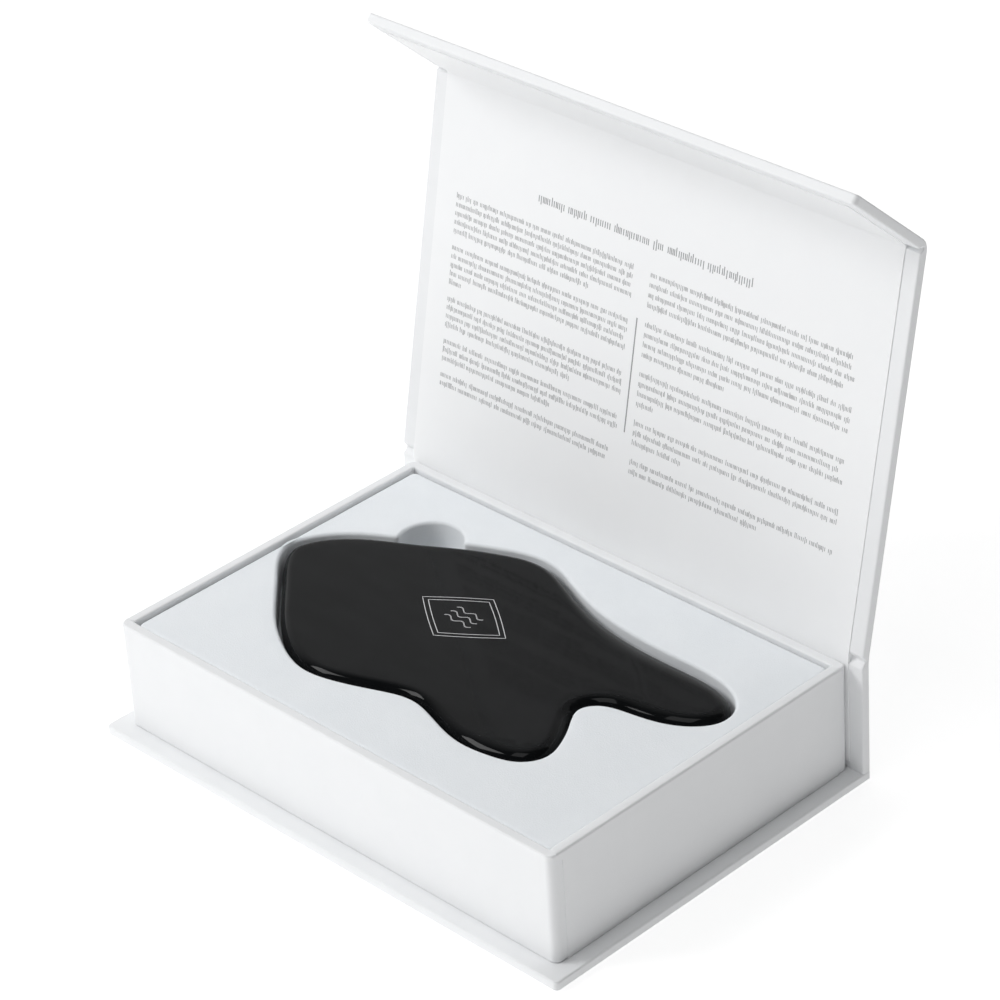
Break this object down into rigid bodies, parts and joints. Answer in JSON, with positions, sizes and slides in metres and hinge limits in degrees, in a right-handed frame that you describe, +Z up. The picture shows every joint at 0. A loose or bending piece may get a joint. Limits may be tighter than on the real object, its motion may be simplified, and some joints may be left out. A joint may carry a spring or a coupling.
{
  "type": "gua sha stone in a presentation box",
  "caption": "Polished black gua sha stone in a fitted foam insert, inside a white rigid book-style box with a hinged lid and a magnetic flap.",
  "frame": {"origin": "on the underside of the base, below the centre of the tray", "axes": "+Z up, +Y towards the spine and lid hinge, +X to the right seen from the open front"},
  "size_m": [0.1464, 0.1208, 0.1476],
  "materials": {
    "grey_board": "matte",
    "white_paper": "matte",
    "liner_paper": "satin",
    "kraft_tape": "matte",
    "white_foam": "matte",
    "insert_card": "matte",
    "black_stone": "polished",
    "magnet": "satin",
    "steel": "satin"
  },
  "bodies": {
    "case": {"base_board": "grey_board", "spine_board": "grey_board", "case_wrap": "white_paper", "spine_liner": "liner_paper", "tray_bottom_board": "grey_board", "tray_front_board": "grey_board", "tray_back_board": "grey_board", "tray_left_board": "grey_board", "tray_right_board": "grey_board", "tray_corner_tapes": "kraft_tape", "tray_wrap": "white_paper", "tray_steel_discs": "steel"},
    "insert": {"insert_pad_lower": "white_foam", "insert_pad_upper": "white_foam", "insert_face": "insert_card"},
    "stone": {"gua_sha_stone": "black_stone"},
    "lid": {"lid_board": "grey_board", "lid_wrap": "white_paper", "lid_liner": "liner_paper"},
    "flap": {"flap_board": "grey_board", "flap_wrap": "white_paper", "flap_liner": "liner_paper", "flap_magnets": "magnet"}
  },
  "joints": [
    {"name": "lid_hinge", "type": "hinge", "parent": "case", "child": "lid", "pos_m": [0, 0.0484, 0.0321], "axis": [-1, 0, 0], "range_deg": [-102, 78]},
    {"name": "flap_hinge", "type": "hinge", "parent": "lid", "child": "flap", "pos_m": [0, 0.06859, 0.12708], "axis": [1, 0, 0], "range_deg": [-60, 30]},
    {"name": "insert_lift", "type": "slide", "parent": "case", "child": "insert", "axis": [0, 0, 1], "range_m": [0, 0.06]},
    {"name": "stone_lift", "type": "slide", "parent": "insert", "child": "stone", "axis": [0, 0, 1], "range_m": [0, 0.06]}
  ]
}
